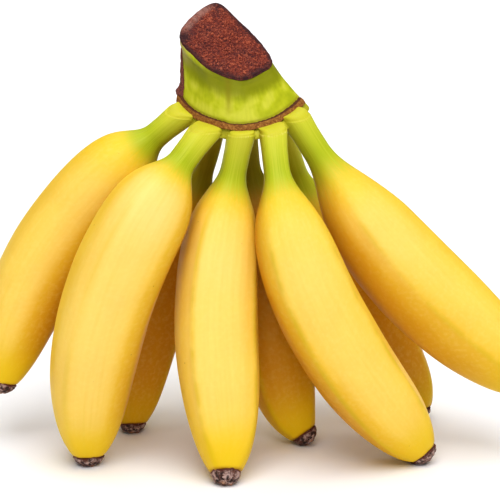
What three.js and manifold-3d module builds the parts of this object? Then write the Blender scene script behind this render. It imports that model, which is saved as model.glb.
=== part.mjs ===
// A hand of eight small ripe bananas standing on its finger tips.
// Millimetres, +Z up, floor at z = 0. Negative Y is the side of the front row.
// Five fingers make the front row and three the back row. All hang from one
// green crown cut off the bunch, and each ends in a dry blossom end. The six
// that reach the floor are ground to a small flat there.
import * as THREE from 'three';
import Module from 'manifold-3d';

const wasm = await Module();
wasm.setup();
const { Manifold, Mesh } = wasm;

// ---- driving dimensions, mm -------------------------------------------------
const GAP = 0.3; // clear space between neighbouring pieces
const SOCKET = 0.95; // how far the sockets of the necks are grown from the crown
const SHIFT = [-4.1, 5.5]; // moves the middle of the footprint onto the origin

// Each finger: five way-points at equal steps along its middle, from the root
// under the crown to the blossom tip. Its full radius, the radius of its neck,
// the share of its length the neck runs for, and the share it swells over.
const FINGERS = [
  { name: 'front_1', girth: 15.2, neck: 4.6, swellAt: 0.085, swell: 0.085,
    way: [[-24, -6, 124.5], [-48, -4, 102.8], [-68, -2, 79], [-83.5, -2, 51], [-92, -1, 19]] },
  { name: 'front_2', girth: 16.2, neck: 5, swellAt: 0.1, swell: 0.08,
    way: [[-15, -14, 121], [-34, -27.5, 96], [-48.5, -31, 66.5], [-56.5, -28, 33.5], [-58, -21.8, -1.2]] },
  { name: 'front_3', girth: 15.4, neck: 4.6, swellAt: 0.1, swell: 0.12,
    way: [[-3, -16, 120], [-9, -17.5, 89.5], [-12, -24, 59.5], [-10.5, -32.5, 30], [-8.5, -42.5, -0.4]] },
  { name: 'front_4', girth: 15.9, neck: 4.6, swellAt: 0.1, swell: 0.12,
    way: [[8, -16, 121], [13, -29, 90], [25.3, -32, 57.8], [43.8, -28, 27.5], [65, -20, 0.5]] },
  { name: 'front_5', girth: 16.4, neck: 4.7, swellAt: 0.1, swell: 0.15,
    way: [[15, -8, 125], [34.5, -11, 95.5], [55.5, -13, 69.5], [79.5, -15, 46.5], [107, -16, 25.5]] },
  { name: 'back_1', girth: 14.3, neck: 3.6, swellAt: 0.17, swell: 0.1,
    way: [[-10.5, 9, 128.5], [-20, 13, 91], [-32.5, 13.5, 60], [-42, 12, 29], [-44, 11, -0.9]] },
  { name: 'back_2', girth: 14.4, neck: 3.6, swellAt: 0.17, swell: 0.1,
    way: [[0, 9, 128.5], [1.5, 5.5, 93.5], [6.5, 3, 61], [10.5, -0.5, 29], [23, -2.5, 0.6]] },
  { name: 'back_3', girth: 14.2, neck: 3.6, swellAt: 0.17, swell: 0.1,
    way: [[8, 8, 128], [21, 20.5, 88], [35.5, 24, 55.5], [52.5, 24, 26], [66, 24.5, 0]] },
];
const ROOT_FLARE = 0.5; // a little wider again where it leaves the crown
const NOSE_START = 0.45; // share of the length where the body begins to close in
const NOSE_SPAN = 0.536;
const NOSE_CURVE = 3.2; // how late and how bluntly it closes
const RIDGES = 4; // blunt ridges along each finger
const RIDGE = 0.028; // their height, share of the radius
const RIDGE_TURN = Math.PI / 6; // the first ridge, round from the front towards -X
const PEEL_END = 0.966; // the peel stops here and the blossom end begins
const DOME_END = 0.994; // the blossom end is a low dome that closes here
const TIP_TURN = 4.6; // how far the tips turn towards the front over their last part, mm
const TURN_FROM = 0.82; // share of the length where that turn begins
const RINGS = 27;
const ROUND = 20; // points round a finger

// Crown: two closed outlines joined by straight sides, each ten points from
// the middle of the front and round by the right, the back and the left.
const COLLAR = [
  [-2.5, -17.5, 118.3], [10.5, -13, 120.5], [20.5, -1.5, 125.5], [17, 7, 126], [4, 13, 126.5],
  [-9, 14, 127], [-20, 9, 127], [-25.5, 0, 126.5], [-21.5, -8, 121.8], [-13, -14, 119.3],
];
const CUT = [
  [-3.5, -11, 138], [3, -6, 139.5], [7, 0, 142], [3.5, 6, 147.5], [-4.5, 11, 155.2],
  [-12, 14, 161], [-20.5, 8.5, 156.5], [-24.2, 0, 151], [-19.3, -5, 145.5], [-13, -10, 141],
];
const CROWN_ROUND = 40;
const CROWN_DIP = 0.7; // how far the sides hollow in half way up
const CAP_FROM = 0.95; // share of the height where the dry cut layer begins
const CAP_CLEAR = 0.035; // share of the height left clear under it
const CAP_LIP = 0.7; // the dry layer stands out past the green flesh by this
const CAP_DOME = 0.8;
const CROWN_AXIS = [[-3, -1, 123], [-8.5, 1, 148.5]]; // middles of the two outlines

// Patches lying on the side of the crown: part of the way round (in outline
// points), part of the height, and how thick they are.
const SCAR = { round: [7.25, 12.15], height: [0.12, 0.22], thick: 0.9, end: 1.2 };
const PATCH_CLEAR = 0.4; // level distance from the flesh to a patch's inner face
const SIDE_CUT = { round: [6, 7.25], height: [0.27, 0.985], thick: 0.9, end: 0 };

// ---- curves and shapes --------------------------------------------------------

// The point at share t of a finger's middle: the quartic through its five
// way-points, which sit at t = 0, 1/4, 1/2, 3/4 and 1, with the tip turned forward.
function middle(way, t) {
  const p = new THREE.Vector3();
  for (let i = 0; i < 5; i += 1) {
    let weight = 1;
    for (let j = 0; j < 5; j += 1) {
      if (j !== i) weight *= (4 * t - j) / (i - j);
    }
    p.addScaledVector(new THREE.Vector3(...way[i]), weight);
  }
  p.y -= TIP_TURN * (Math.max(t - TURN_FROM, 0) / (1 - TURN_FROM)) ** 2;
  return p;
}

// Radius of the peel at share t: a thin neck, a quick swell, a long belly and
// a blunt nose.
function peelRadius(finger, t) {
  const q = (Math.max(t - finger.swellAt, 0) / finger.swell) ** 2.4;
  const body = finger.neck + (finger.girth - finger.neck) * (q / (1 + q));
  const nose = Math.sqrt(1 - Math.max((t - NOSE_START) / NOSE_SPAN, 0) ** NOSE_CURVE);
  return body * nose + ROOT_FLARE * Math.max(1 - t / 0.06, 0);
}

// Radius of the dry blossom end, k from 0 at the peel to 1 where its dome closes.
function domeRadius(finger, k) {
  return 0.98 * peelRadius(finger, PEEL_END) * Math.sqrt(1 - k ** 1.7);
}

// A closed solid from rings of points, all of one length, with a middle point
// closing each end. Rings run anticlockwise seen from the last ring.
function solidFromRings(rings, first, last) {
  const n = rings[0].length;
  const points = rings.flat();
  points.push(first, last);
  const at = (i, j) => i * n + (j % n);
  const index = [];
  for (let j = 0; j < n; j += 1) {
    index.push(points.length - 2, at(0, j + 1), at(0, j));
    for (let i = 0; i + 1 < rings.length; i += 1) {
      index.push(at(i, j), at(i, j + 1), at(i + 1, j + 1));
      index.push(at(i, j), at(i + 1, j + 1), at(i + 1, j));
    }
    index.push(points.length - 1, at(rings.length - 1, j), at(rings.length - 1, j + 1));
  }
  const vertProperties = new Float32Array(points.flatMap((p) => [p.x, p.y, p.z]));
  const triVerts = new Uint32Array(index);
  return new Manifold(new Mesh({ numProp: 3, vertProperties, triVerts }));
}

// Rings of a finger between two shares of its length. Each ring starts on the
// first ridge, and the others follow at equal steps round it.
function fingerRings(finger, shares, radiusAt, ridge) {
  const front = new THREE.Vector3(0, -1, 0);
  return shares.map((t) => {
    const centre = middle(finger.way, t);
    const along = middle(finger.way, t + 0.001).sub(middle(finger.way, t - 0.001)).normalize();
    const side = front.clone().addScaledVector(along, -front.dot(along)).normalize();
    const across = new THREE.Vector3().crossVectors(along, side);
    const ring = [];
    for (let j = 0; j < ROUND; j += 1) {
      const turn = (2 * Math.PI * j) / ROUND;
      const angle = RIDGE_TURN + turn;
      const r = radiusAt(t) * (1 + ridge * Math.cos(RIDGES * turn));
      const p = centre.clone().addScaledVector(side, r * Math.cos(angle));
      ring.push(p.addScaledVector(across, r * Math.sin(angle)));
    }
    return ring;
  });
}

function fingerSolid(finger) {
  const shares = [];
  for (let i = 0; i <= RINGS; i += 1) shares.push((PEEL_END * i) / RINGS);
  const rings = fingerRings(finger, shares, (t) => peelRadius(finger, t), RIDGE);
  return solidFromRings(rings, middle(finger.way, 0), middle(finger.way, PEEL_END));
}

function blossomSolid(finger) {
  const length = middle(finger.way, DOME_END).distanceTo(middle(finger.way, PEEL_END));
  const start = PEEL_END + ((DOME_END - PEEL_END) * GAP * 1.1) / length;
  const shares = [0, 0.3, 0.6, 0.85].map((k) => start + (DOME_END - start) * k);
  const radiusAt = (t) => domeRadius(finger, (t - start) / (DOME_END - start));
  const rings = fingerRings(finger, shares, radiusAt, RIDGE * 2);
  return solidFromRings(rings, middle(finger.way, start), middle(finger.way, DOME_END));
}

// A point on a closed outline, u counted in outline points (Catmull-Rom).
function onOutline(outline, u) {
  const n = outline.length;
  const i = Math.floor(u);
  const f = u - i;
  const [a, b, c, d] = [-1, 0, 1, 2].map((k) => outline[(i + k + n) % n]);
  const axis = (m) => 0.5 * (2 * b[m] + (c[m] - a[m]) * f
    + (2 * a[m] - 5 * b[m] + 4 * c[m] - d[m]) * f * f
    + (3 * b[m] - a[m] - 3 * c[m] + d[m]) * f * f * f);
  return new THREE.Vector3(axis(0), axis(1), axis(2));
}

// A point on the crown's side: u round it, t up it, moved out level by `out`.
function onCrown(u, t, out) {
  const p = onOutline(COLLAR, u).lerp(onOutline(CUT, u), t);
  const axis = new THREE.Vector3(...CROWN_AXIS[0]).lerp(new THREE.Vector3(...CROWN_AXIS[1]), t);
  const away = new THREE.Vector3(p.x - axis.x, p.y - axis.y, 0).normalize();
  return p.addScaledVector(away, out - CROWN_DIP * Math.sin(Math.PI * t));
}

// The crown between two heights, all round, grown by `out` and by `drop` below.
function crownSolid(from, to, out, drop, dome) {
  const levels = [from, (from + to) / 2, to];
  if (to - from > 0.5) levels.splice(1, 1, 0.12, 0.3, 0.5, 0.7, 0.85);
  const rings = levels.map((t) => {
    const ring = [];
    for (let j = 0; j < CROWN_ROUND; j += 1) {
      const p = onCrown((10 * j) / CROWN_ROUND, t, out);
      if (t === from) p.z -= drop;
      ring.push(p);
    }
    return ring;
  });
  const end = (ring, lift) => {
    const p = ring.reduce((sum, q) => sum.add(q), new THREE.Vector3()).divideScalar(ring.length);
    p.z += lift;
    return p;
  };
  return solidFromRings(rings, end(rings[0], 0), end(rings[rings.length - 1], dome));
}

// A patch on the side of the crown, its inner face `near` clear of the flesh.
// Every ring is a four-sided section; `end` thickens the left end into a nub.
function patchSolid(patch, near, grow) {
  const steps = ((patch.round[1] - patch.round[0]) * CROWN_ROUND) / 10;
  const rings = [];
  for (let i = 0; i <= steps; i += 1) {
    const u = THREE.MathUtils.lerp(patch.round[0], patch.round[1], i / steps) % 10;
    const nub = patch.end * Math.max(1 - i / 2.5, 0);
    const out = GAP + patch.thick + nub + grow;
    const [low, high] = patch.height;
    rings.push([
      onCrown(u, (low + high) / 2, near),
      onCrown(u, high + grow * 0.06, near),
      onCrown(u, high + grow * 0.06, out),
      onCrown(u, (low + high) / 2, out + 0.2),
      onCrown(u, low - grow * 0.06, out),
      onCrown(u, low - grow * 0.06, near),
    ]);
  }
  const end = (ring) => ring.reduce((s, q) => s.add(q), new THREE.Vector3()).divideScalar(6);
  return solidFromRings(rings, end(rings[0]), end(rings[rings.length - 1]));
}

// ---- pieces ---------------------------------------------------------------------

function largest(solid) {
  const bits = solid.decompose();
  return bits.reduce((a, b) => (b.volume() > a.volume() ? b : a));
}

function addPiece(group, name, solid, colour, roughness) {
  const { numProp, vertProperties, triVerts } = largest(solid).getMesh();
  const geometry = new THREE.BufferGeometry();
  const position = [];
  for (let i = 0; i < vertProperties.length; i += numProp) {
    position.push(vertProperties[i] + SHIFT[0], vertProperties[i + 1] + SHIFT[1], vertProperties[i + 2]);
  }
  geometry.setAttribute('position', new THREE.Float32BufferAttribute(position, 3));
  geometry.setIndex([...triVerts]);
  geometry.computeVertexNormals();
  const material = new THREE.MeshStandardMaterial({ color: colour, roughness, metalness: 0 });
  const mesh = new THREE.Mesh(geometry, material);
  mesh.name = name;
  group.add(mesh);
}

const hand = new THREE.Group();
hand.name = 'banana_hand';

addPiece(hand, 'crown', crownSolid(0, CAP_FROM, 0, 0, 0), '#a9b52c', 0.6);

const cap = crownSolid(CAP_FROM + CAP_CLEAR, 1, CAP_LIP, 0, CAP_DOME);
addPiece(hand, 'crown_cut', cap.add(patchSolid(SIDE_CUT, PATCH_CLEAR, 0)), '#6e3a2c', 0.9);

addPiece(hand, 'bract_scar', patchSolid(SCAR, PATCH_CLEAR, 0), '#8a5a2c', 0.85);

// The fingers keep clear of the crown and of the scar that runs round it.
const socket = crownSolid(0, CAP_FROM, SOCKET, SOCKET, 0).add(patchSolid(SCAR, 0, GAP * 1.3));

for (const finger of FINGERS) {
  const peel = fingerSolid(finger).subtract(socket);
  addPiece(hand, `finger_${finger.name}`, peel, '#f3c842', 0.5);
}

for (const finger of FINGERS) {
  const onFloor = blossomSolid(finger).trimByPlane([0, 0, 1], 0);
  addPiece(hand, `blossom_end_${finger.name}`, onFloor, '#5a4038', 0.9);
}

export default hand;
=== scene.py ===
"""A hand of eight small ripe bananas, laid out as an add-on and run as a script."""
import math

import bpy
import numpy as np
from bpy.props import FloatProperty, FloatVectorProperty, IntProperty, PointerProperty
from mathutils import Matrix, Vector


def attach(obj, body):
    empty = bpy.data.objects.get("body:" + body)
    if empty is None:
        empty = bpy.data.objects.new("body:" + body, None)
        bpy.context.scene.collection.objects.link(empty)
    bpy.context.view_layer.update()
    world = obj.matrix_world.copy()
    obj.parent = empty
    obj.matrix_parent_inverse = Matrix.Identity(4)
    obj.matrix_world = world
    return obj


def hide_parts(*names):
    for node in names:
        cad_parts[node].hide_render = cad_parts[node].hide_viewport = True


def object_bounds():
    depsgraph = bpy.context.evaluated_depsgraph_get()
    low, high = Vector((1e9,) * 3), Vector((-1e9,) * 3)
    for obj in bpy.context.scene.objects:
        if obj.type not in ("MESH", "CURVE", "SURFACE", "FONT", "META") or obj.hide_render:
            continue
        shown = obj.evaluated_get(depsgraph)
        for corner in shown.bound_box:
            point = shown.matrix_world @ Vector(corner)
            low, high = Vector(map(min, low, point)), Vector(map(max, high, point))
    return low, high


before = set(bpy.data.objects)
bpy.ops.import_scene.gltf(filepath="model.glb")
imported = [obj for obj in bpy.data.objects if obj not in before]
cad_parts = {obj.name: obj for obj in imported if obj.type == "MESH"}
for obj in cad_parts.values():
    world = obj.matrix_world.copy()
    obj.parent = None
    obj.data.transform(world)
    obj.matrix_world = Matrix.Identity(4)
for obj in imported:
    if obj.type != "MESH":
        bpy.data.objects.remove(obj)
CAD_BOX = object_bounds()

bl_info = {
    "name": "Banana hand",
    "version": (1, 0, 0),
    "blender": (4, 5, 0),
    "location": "3D View > Sidebar > Banana hand",
    "description": "Builds the peels, crown, cut, scar and blossom ends of a banana hand",
    "category": "Object",
}

MM = 0.001

# ---- the hand's own dimensions, mm, as in the solids --------------------------------

SHIFT = np.array([-4.1, 5.5, 0.0])  # puts the middle of the footprint on the origin

# Each finger's shape:
#   girth, neck      radius of the belly and of the neck
#   swell_at, swell  share of the length where the neck begins to swell, and how long it takes
#   shoulder         rounding of the neck's upper end
#   roll, keen       turn of the section about the finger's length, in radians, and how keen its
#                    ridges are
#   way              five points along its middle, from the crown to the tip
# Its knuckle at the crown:
#   place            where the neck leaves the crown, counted along the crown's outline
#   top              share of the crown's height where the neck ends at the latest
#   bend, torn       how far it goes on straight before it bends in, and how torn the skin is there
# Its skin:
#   ripe, eased  how deep the amber of the inner side is, partly riper peel and partly
#                          painted shade, and where that begins and is full (as a cosine); how
#                          much less so in the upper half
#   pale             how much painted highlight the outer side has
#   green            how much sooner than the swell the green of the neck ends
#   young, nose      how lemon yellow it is below the neck and at the nose
FRONT_ROW = dict(neck=4.6, swell_at=0.10, swell=0.12, shoulder=0.4, roll=0, keen=1,
                 ripe=(0.95, -0.1, 0.8), eased=0)
BACK_ROW = dict(neck=3.6, swell_at=0.17, swell=0.10, shoulder=0.5, roll=0, keen=1, top=0.02,
                bend=0.3, torn=0.5, ripe=(1.0, -0.8, 0.5), eased=0, pale=0.4, green=0, young=0.4)
FINGERS = {
    "front_1": dict(
        FRONT_ROW, girth=15.2, swell_at=0.085, swell=0.085, shoulder=0.3, keen=0.3,
        place=7.71, top=0.10, bend=0.6, torn=0.15, pale=0.38, green=0.05, young=0.6, nose=0.85,
        way=[[-24, -6, 124.5], [-48, -4, 102.8], [-68, -2, 79], [-83.5, -2, 51], [-92, -1, 19]]),
    "front_2": dict(
        FRONT_ROW, girth=16.2, neck=5.0, swell=0.08, keen=0.4,
        place=8.86, top=0.06, bend=0.4, torn=0.4, pale=0.52, green=0.2, young=0.1, nose=0.75,
        way=[[-15, -14, 121], [-34, -27.5, 96], [-48.5, -31, 66.5], [-56.5, -28, 33.5],
             [-58, -21.8, -1.2]]),
    "front_3": dict(
        FRONT_ROW, girth=15.4,
        place=9.97, top=0.045, bend=0.3, torn=1.0, pale=0.5, green=0.22, young=0.3, nose=0.75,
        way=[[-3, -16, 120], [-9, -17.5, 89.5], [-12, -24, 59.5], [-10.5, -32.5, 30],
             [-8.5, -42.5, -0.4]]),
    "front_4": dict(
        FRONT_ROW, girth=15.9, ripe=(1.0, -0.5, 0.45),
        place=10.71, top=0.045, bend=0.35, torn=0.7, pale=0.36, green=0.25, young=0.3, nose=0.7,
        way=[[8, -16, 121], [13, -29, 90], [25.3, -32, 57.8], [43.8, -28, 27.5], [65, -20, 0.5]]),
    "front_5": dict(
        FRONT_ROW, girth=16.4, neck=4.7, swell=0.15, shoulder=0.3, roll=-0.5, keen=0.75,
        ripe=(0.6, -0.75, 0.6), eased=0.9,
        place=11.44, top=0.09, bend=0.6, torn=0.3, pale=0.32, green=0.3, young=0.1, nose=0.85,
        way=[[15, -8, 125], [34.5, -11, 95.5], [55.5, -13, 69.5], [79.5, -15, 46.5],
             [107, -16, 25.5]]),
    "back_1": dict(
        BACK_ROW, girth=14.3, nose=0.45,
        way=[[-10.5, 9, 128.5], [-20, 13, 91], [-32.5, 13.5, 60], [-42, 12, 29], [-44, 11, -0.9]]),
    "back_2": dict(
        BACK_ROW, girth=14.4, nose=0.8,
        way=[[0, 9, 128.5], [1.5, 5.5, 93.5], [6.5, 3, 61], [10.5, -0.5, 29], [23, -2.5, 0.6]]),
    "back_3": dict(
        BACK_ROW, girth=14.2, eased=0.8, nose=0.55,
        way=[[8, 8, 128], [21, 20.5, 88], [35.5, 24, 55.5], [52.5, 24, 26], [66, 24.5, 0]]),
}
PEEL_END = 0.966  # share of the length where the peel stops and the blossom end begins
DOME_END = 0.994  # and where the blossom end's dome closes
TIP_TURN, TURN_FROM = 4.6, 0.82  # mm the tips turn forward, from this share on
# The nose: the share where the finger begins to narrow, the share it takes, and how late.
NOSE_START, NOSE_SPAN, NOSE_CURVE = 0.45, 0.536, 3.2
RIDGE_TURN = math.pi / 6  # turns the four ridges off the front
HEART = np.array([-5, 0, 125])  # the middle of the crown's foot, where the necks meet
FRONT = np.array([0.05, -0.93, 0.36])  # the way the faces with the painted highlight are turned; in the back row these get painted shade

# Crown outlines, ten points from the middle of the front round by the right.
COLLAR = np.array([
    [-2.5, -17.5, 118.3], [10.5, -13, 120.5], [20.5, -1.5, 125.5], [17, 7, 126], [4, 13, 126.5],
    [-9, 14, 127], [-20, 9, 127], [-25.5, 0, 126.5], [-21.5, -8, 121.8], [-13, -14, 119.3]], float)
CUT = np.array([
    [-3.5, -11, 138], [3, -6, 139.5], [7, 0, 142], [3.5, 6, 147.5], [-4.5, 11, 155.2],
    [-12, 14, 161], [-20.5, 8.5, 156.5], [-24.2, 0, 151], [-19.3, -5, 145.5], [-13, -10, 141],
], float)
CROWN_AXIS = np.array([[-3, -1, 123], [-8.5, 1, 148.5]], float)
CROWN_DIP = 0.7  # how far its side is hollowed half way up
CROWN_RISE, CAP_RISE = 21, 22  # mm from the collar to the cut, for the roundings of each

# Levels are shares of the crown's height: 0 at the collar and 1 at the cut.
CROWN_SKIN = (-0.07, 0.972)  # between which the green skin runs
NECK_LEVEL = 0.02  # where the necks may enter the crown
KNUCKLE_LEVEL = 0.125  # where the front knuckles end
SCAR_ROUND, SCAR_HEIGHT = (7.25, 12.15), (0.12, 0.22)  # the scar's outline places and levels
STRIP_HEIGHT = (0.17, 0.985)  # the dried strip's levels
CAP_FROM, CAP_LIP, CAP_DOME = 0.962, 0.7, 0.48  # the dried cut's level, and its lip and dome, mm
SWELL = 0.8  # mm the front necks swell the collar above them
NECK_PLACES = np.array([finger["place"] for finger in FINGERS.values() if "place" in finger])

FULL_GIRTH = 15  # mm: the radius where the dents reach their full depth
PEEL_EDGE = 0.9  # mm: rounding of the peel's edge at the blossom end

# Grids: rings along each piece, then points round it.
KNUCKLE_ROWS = 16
CROWN_GRID, CUT_GRID, STRIP_GRID = (76, 240), (12, 300), (150, 40)
SCAR_GRID, BLOSSOM_GRID = (420, 44), (60, 110)

# ---- the stage ----------------------------------------------------------------------

TARGET = (-0.0041, 0.0055, 0.073)  # what the camera looks at, metres
CAMERA = (-0.0041, -0.67065, 0.25417)
LENS, SENSOR = 138.6, 36.0  # mm
CLIP = (0.05, 30.0)  # metres
FLOOR_HALF, FLOOR_WHITE = 6.0, (0.94, 0.94, 0.96, 1.0)  # metres; matt, a little cold
WORLD_LIGHT = 0.12
# Very broad softboxes, one high in front and weaker ones beside the camera and high behind:
# how wide each looks in degrees, its strength and the way it shines.
LIGHTS = {
    "key": (55, 2.16, (-0.1, 0.48, -1.0)),
    "front": (60, 0.52, (0.1, 0.85, -0.55)),
    "back": (70, 0.9, (0.0, -0.45, -1.0)),
}


def linear(hex_colour):
    """The linear colour of an sRGB hex value, with full alpha."""
    parts = [int(hex_colour[i:i + 2], 16) / 255 for i in (1, 3, 5)]
    return tuple(
        c / 12.92 if c <= 0.04045 else ((c + 0.055) / 1.055) ** 2.4 for c in parts) + (1.0,)


# ---- settings a user would change ---------------------------------------------------

def colour(name, description, value):
    """A colour property with its sRGB default."""
    return FloatVectorProperty(name=name, description=description, default=linear(value),
                               size=4, min=0.0, max=1.0, subtype="COLOR")


def length(name, description, value, most, least=0.0):
    """A length property, with its default and limits in mm."""
    return FloatProperty(name=name, description=description, default=value * MM, min=least * MM,
                         max=most * MM, unit="LENGTH")


class HAND_PG_sizes(bpy.types.PropertyGroup):
    rings: IntProperty(
        name="Rings", description="Rings along each peel", default=230, min=40, max=400)
    round: IntProperty(
        name="Points round", description="Points round each peel", default=128, min=32, max=240)
    squareness: FloatProperty(
        name="Squareness", description="How much each peel is square with blunt ridges",
        default=0.5, min=0.0, max=1.0, subtype="FACTOR")
    ridges: length("Ridges", "How far the blunt ridges stand out of the peel", 0.6, 2)
    root: length("Root", "How far a back neck runs on into the crown", 5, 10, 1)
    dents: length("Dents", "Depth of the soft dents in the peel", 0.22, 2)
    cut_relief: length("Cut relief", "Depth of the fibre ends in the dried cut", 0.42, 2)
    scar_height: length("Scar height", "How far the bract scar stands out", 1.2, 3, 0.2)


class HAND_PG_colours(bpy.types.PropertyGroup):
    peel: colour("Peel", "Ripe peel", "#f2c945")
    # painted highlight: a paler cream on the peel's faces turned to the front
    painted_sheen: colour("Belly", "Paler peel in front", "#fbdb8c")
    amber: colour("Amber", "Riper, deeper patches of the peel", "#e4b028")
    neck: colour("Neck", "Yellow-green of the necks", "#cfcd3e")
    neck_edge: colour("Neck edge", "Greener skin just above the swell", "#a6b41c")
    crown: colour("Crown", "Yellow-green skin of the crown", "#b9bd20")
    crown_dark: colour("Crown dark", "Olive skin under the cut", "#7c7f08")
    cut: colour("Cut", "Dried cut through the crown", "#772c20")
    # also the painted shade in the pits between the fibre ends
    cut_dark: colour("Cut dark", "Pits and dark edge of the cut", "#3c2024")
    cut_pale: colour("Cut pale", "Weathered rim and fibre ends", "#a37a6e")
    scar: colour("Scar", "Corky bract scar", "#b07c3a")
    scar_dark: colour("Scar dark", "Dark edges of the scar", "#4f2813")
    blossom: colour("Blossom end", "Dried blossom end", "#6a463c")
    blossom_pale: colour("Blossom pale", "Papery pale bits of the blossom end", "#c0a49c")


# ---- surfaces -----------------------------------------------------------------------

def lattice(cell, seed):
    """A number in -1..1 for each whole-numbered corner, mixed from its three indices."""
    h = (cell[..., 0] * 374761393 + cell[..., 1] * 668265263 + cell[..., 2] * 2147483647
         + seed * 144665)
    h = (h ^ (h >> 13)) * 1274126177
    h = h ^ (h >> 16)
    return (h & 0xFFFF) / 32767.5 - 1.0


def noise(points, size, seed=0):
    """Value noise in -1..1: numbers at the corners of cubes of edge `size`, joined smoothly."""
    p = np.asarray(points) / size
    cell = np.floor(p).astype(np.int64)
    f = p - cell
    f = f * f * (3 - 2 * f)
    total = 0.0
    for corner in np.ndindex(2, 2, 2):
        weight = np.prod(np.where(corner, f, 1 - f), axis=-1)
        total = total + weight * lattice(cell + np.array(corner), seed)
    return total


def step(low, high, x):
    """A smooth step from 0 at low to 1 at high: 3k^2 - 2k^3 of the share between them."""
    k = np.clip((x - low) / (high - low), 0, 1)
    return k * k * (3 - 2 * k)


def hump(x, width):
    """A bell of height 1 at 0: e to the power of minus the square of x / width."""
    return np.exp(-(x / width) ** 2)


def rounding(depth, radius):
    """How far a rounded edge is drawn in at a depth from its end: r - sqrt(r^2 - (r - depth)^2)."""
    left = np.clip(radius - depth, 0, radius)
    return radius - np.sqrt(radius ** 2 - left ** 2)


def turns(count):
    """Evenly spaced angles, once round: 2 pi i / count."""
    return 2 * math.pi * np.arange(count) / count


def unit(vectors):
    """Vectors of length 1 that point the same way: each divided by its length."""
    return vectors / np.linalg.norm(vectors, axis=-1, keepdims=True)


def straightened(along, radius, angle):
    """A surface straightened to a cylinder for its noises and fibres: along, r cos, r sin, mm."""
    return np.stack(
        np.broadcast_arrays(along, radius * np.cos(angle), radius * np.sin(angle)), -1)


def middle(way, t):
    """The quartic through five points at t = 0, 1/4, 1/2, 3/4 and 1, its tip turned forward."""
    weights = [np.prod([(4 * t - j) / (i - j) for j in range(5) if j != i], axis=0)
               for i in range(5)]
    line = np.stack(weights, -1) @ np.array(way, float)
    line[..., 1] -= TIP_TURN * (np.maximum(t - TURN_FROM, 0) / (1 - TURN_FROM)) ** 2
    return line


def frames(way, t):
    """Centres and two crosswise ways at shares t: the front squared to the run, and their cross."""
    along = unit(middle(way, t + 0.001) - middle(way, t - 0.001))
    front = np.array([0.0, -1.0, 0.0])
    side = unit(front - along * (along @ front)[:, None])
    return middle(way, t), side, np.cross(along, side)


def length_of(way):
    """Length of a finger's middle line, summed over 200 short steps, mm."""
    line = middle(way, np.linspace(0, 1, 201))
    return np.linalg.norm(np.diff(line, axis=0), axis=1).sum()


def squarish(turn, amount):
    """Radius factor of a circle bulged at four ridges: (|cos|^p + |sin|^p)^(-1/p), evened out."""
    p = 2 + amount
    c, s = np.abs(np.cos(turn + math.pi / 4)), np.abs(np.sin(turn + math.pi / 4))
    return (c ** p + s ** p) ** (-1 / p) / 2 ** ((0.5 - 1 / p) * 0.45)


def peel_radius(finger, t):
    """Radius of the peel: a thin neck, a quick swell, a long belly and a blunt nose."""
    q = (np.maximum(t - finger["swell_at"], 0) / finger["swell"]) ** 2.4
    body = finger["neck"] + (finger["girth"] - finger["neck"]) * q / (1 + q)
    nose = np.sqrt(np.maximum(
        1 - np.maximum((t - NOSE_START) / NOSE_SPAN, 0) ** NOSE_CURVE, 0))
    return body * nose + 0.5 * np.maximum(1 - t / 0.06, 0)


def finger_surface(finger, t, turn):
    """Centres and outward ways of a finger at shares t: a ray carried round its middle."""
    shape = np.broadcast_shapes(t.shape, turn.shape)
    t = np.broadcast_to(t, shape)
    centre, side, across = (
        v.reshape(shape + (3,)) for v in frames(finger["way"], t.ravel()))
    angle = (RIDGE_TURN + turn)[..., None]
    return centre, side * np.cos(angle) + across * np.sin(angle)


def on_outline(outline, u):
    """Points on a closed curve through the outline's points, counted by u (Catmull-Rom)."""
    i = np.floor(u).astype(int)
    f = (u - i)[..., None]
    a, b, c, d = (outline[(i + k) % len(outline)] for k in (-1, 0, 1, 2))
    return 0.5 * (2 * b + (c - a) * f + (2 * a - 5 * b + 4 * c - d) * f ** 2
                  + (3 * b - a - 3 * c + d) * f ** 3)


def on_crown(u, t, out):
    """Points on the crown's side: u round it, t up it, moved level off its axis by `out` mm."""
    u, t, out = np.broadcast_arrays(u, t, out)
    t = t[..., None]
    p = on_outline(COLLAR, u) * (1 - t) + on_outline(CUT, u) * t
    away = p - (CROWN_AXIS[0] * (1 - t) + CROWN_AXIS[1] * t)
    away[..., 2] = 0
    return p + unit(away) * (out[..., None] - CROWN_DIP * np.sin(math.pi * t))


def crown_place(points):
    """Where points lie on the crown: their level, and how many mm they are off its side."""
    u = np.linspace(0, 10, 401)
    low, high = on_outline(COLLAR, u), on_outline(CUT, u)
    bearing = np.unwrap(np.arctan2(*(low - CROWN_AXIS[0])[:, 1::-1].T))
    away = points - CROWN_AXIS[0]
    own = np.arctan2(away[..., 1], away[..., 0])
    own = bearing[0] + (own - bearing[0]) % (2 * math.pi)
    z_low, z_high, wide_low, wide_high = (np.interp(own, bearing, values) for values in (
        low[:, 2], high[:, 2], np.linalg.norm((low - CROWN_AXIS[0])[:, :2], axis=1),
        np.linalg.norm((high - CROWN_AXIS[1])[:, :2], axis=1)))
    level = (points[..., 2] - z_low) / (z_high - z_low)
    share = np.clip(level, 0, 1)
    axis = CROWN_AXIS[0] + (CROWN_AXIS[1] - CROWN_AXIS[0]) * share[..., None]
    off = np.linalg.norm((points - axis)[..., :2], axis=-1)
    return level, off - wide_low * (1 - share) - wide_high * share


def collar_swell(u, t):
    """mm the five front necks swell the collar: flat-topped bells that end under the scar."""
    away = (np.asarray(u)[..., None] - NECK_PLACES + 5) % 10 - 5
    return SWELL * np.exp(-(away / 0.40) ** 4).sum(-1) * (1 - step(0.03, 0.135, t))


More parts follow.
